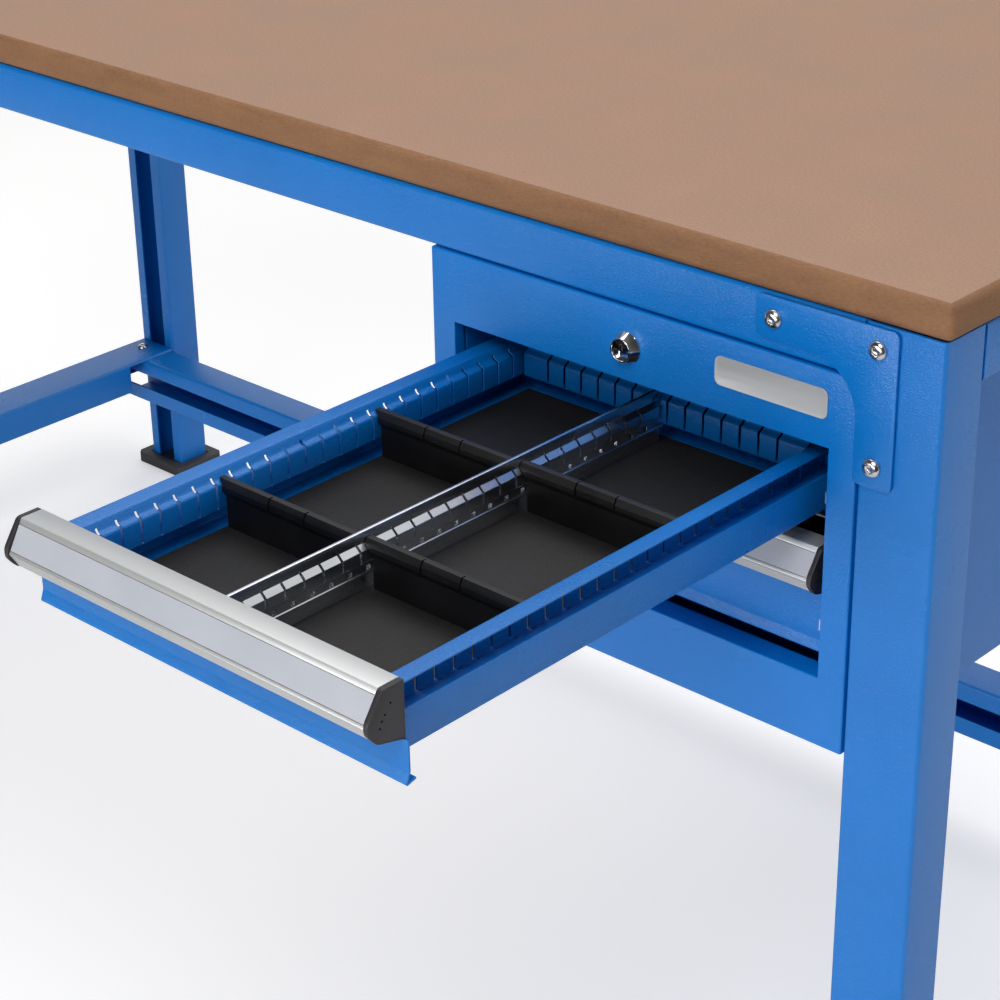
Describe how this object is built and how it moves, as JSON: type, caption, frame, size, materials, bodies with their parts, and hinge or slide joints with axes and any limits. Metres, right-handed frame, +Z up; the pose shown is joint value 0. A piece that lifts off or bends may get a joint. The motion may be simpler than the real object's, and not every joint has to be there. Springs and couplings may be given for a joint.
{
  "type": "workbench with hung drawer cabinet",
  "caption": "Steel-framed workbench with a wood-fibre top and a lockable cabinet of slotted, divided drawers hung under one end.",
  "frame": {"origin": "on the floor under the middle of the bounding box, with the upper drawer open as in the picture", "axes": "+X along the bench towards the cabinet end, -Y to the front, +Z up"},
  "size_m": [1.71, 1.177, 0.875],
  "materials": {
    "blue_powder_coat": "semi-gloss powder coat with a fine orange peel",
    "galvanised_steel": "galvanised sheet, satin",
    "zinc_plated_steel": "zinc plated, semi-gloss",
    "chrome": "polished",
    "anodised_aluminium": "anodised, satin",
    "label_card": "plain grey strip, matte",
    "black_plastic": "black, fine grain",
    "rubber": "matte ribbed mat",
    "fibre_board": "oiled wood-fibre board, satin"
  },
  "bodies": {
    "bench": {"worktop": "fibre_board", "leg_front_left": "blue_powder_coat", "leg_front_right": "blue_powder_coat", "leg_rear_left": "blue_powder_coat", "leg_rear_right": "blue_powder_coat", "foot_front_left": "black_plastic", "foot_front_right": "black_plastic", "foot_rear_left": "black_plastic", "foot_rear_right": "black_plastic", "front_apron": "blue_powder_coat", "rear_apron": "blue_powder_coat", "side_rail_left": "blue_powder_coat", "side_rail_right": "blue_powder_coat", "side_stretcher_left": "blue_powder_coat", "side_stretcher_right": "blue_powder_coat", "rear_stretcher": "blue_powder_coat", "gusset_front_left": "blue_powder_coat", "gusset_front_right": "blue_powder_coat", "gusset_rear_left": "blue_powder_coat", "gusset_rear_right": "blue_powder_coat", "cabinet_shell": "blue_powder_coat", "cabinet_front_frame": "blue_powder_coat", "hanger_frame": "blue_powder_coat", "upright_left": "blue_powder_coat", "upright_right": "blue_powder_coat", "nameplate": "anodised_aluminium", "lock_housing": "chrome", "upper_slide_outer_left": "galvanised_steel", "upper_slide_outer_right": "galvanised_steel", "lower_slide_outer_left": "galvanised_steel", "lower_slide_outer_right": "galvanised_steel"},
    "upper_slide": {"upper_slide_middle_left": "galvanised_steel", "upper_slide_middle_right": "galvanised_steel"},
    "upper_drawer": {"upper_tray": "blue_powder_coat", "upper_front": "blue_powder_coat", "upper_handle": "anodised_aluminium", "upper_label_strip": "label_card", "upper_end_cap_left": "black_plastic", "upper_end_cap_right": "black_plastic", "upper_mat": "rubber", "upper_centre_divider": "galvanised_steel", "cross_divider_front_left": "black_plastic", "cross_divider_front_right": "black_plastic", "cross_divider_rear_left": "black_plastic", "cross_divider_rear_right": "black_plastic", "upper_slide_inner_left": "galvanised_steel", "upper_slide_inner_right": "galvanised_steel"},
    "lower_slide": {"lower_slide_middle_left": "galvanised_steel", "lower_slide_middle_right": "galvanised_steel"},
    "lower_drawer": {"lower_tray": "blue_powder_coat", "lower_front": "blue_powder_coat", "lower_handle": "anodised_aluminium", "lower_label_strip": "label_card", "lower_end_cap_left": "black_plastic", "lower_end_cap_right": "black_plastic", "lower_mat": "rubber", "lower_slide_inner_left": "galvanised_steel", "lower_slide_inner_right": "galvanised_steel"},
    "lock": {"lock_barrel": "chrome", "lock_cam": "zinc_plated_steel"}
  },
  "joints": [
    {"name": "upper_drawer_slide", "type": "slide", "parent": "bench", "child": "upper_drawer", "axis": [0, -1, 0], "range_m": [-0.406, 0]},
    {"name": "upper_slide_run", "type": "slide", "parent": "bench", "child": "upper_slide", "axis": [0, -1, 0], "range_m": [-0.203, 0]},
    {"name": "lower_drawer_slide", "type": "slide", "parent": "bench", "child": "lower_drawer", "axis": [0, -1, 0], "range_m": [0, 0.406]},
    {"name": "lower_slide_run", "type": "slide", "parent": "bench", "child": "lower_slide", "axis": [0, -1, 0], "range_m": [0, 0.203]},
    {"name": "lock_turn", "type": "hinge", "parent": "bench", "child": "lock", "pos_m": [0.588, -0.17645, 0.779], "axis": [0, 1, 0], "range_deg": [0, 90]}
  ],
  "couplings": [
    {"joint": "upper_slide_run", "follows": "upper_drawer_slide", "ratio": 0.5},
    {"joint": "lower_slide_run", "follows": "lower_drawer_slide", "ratio": 0.5}
  ]
}
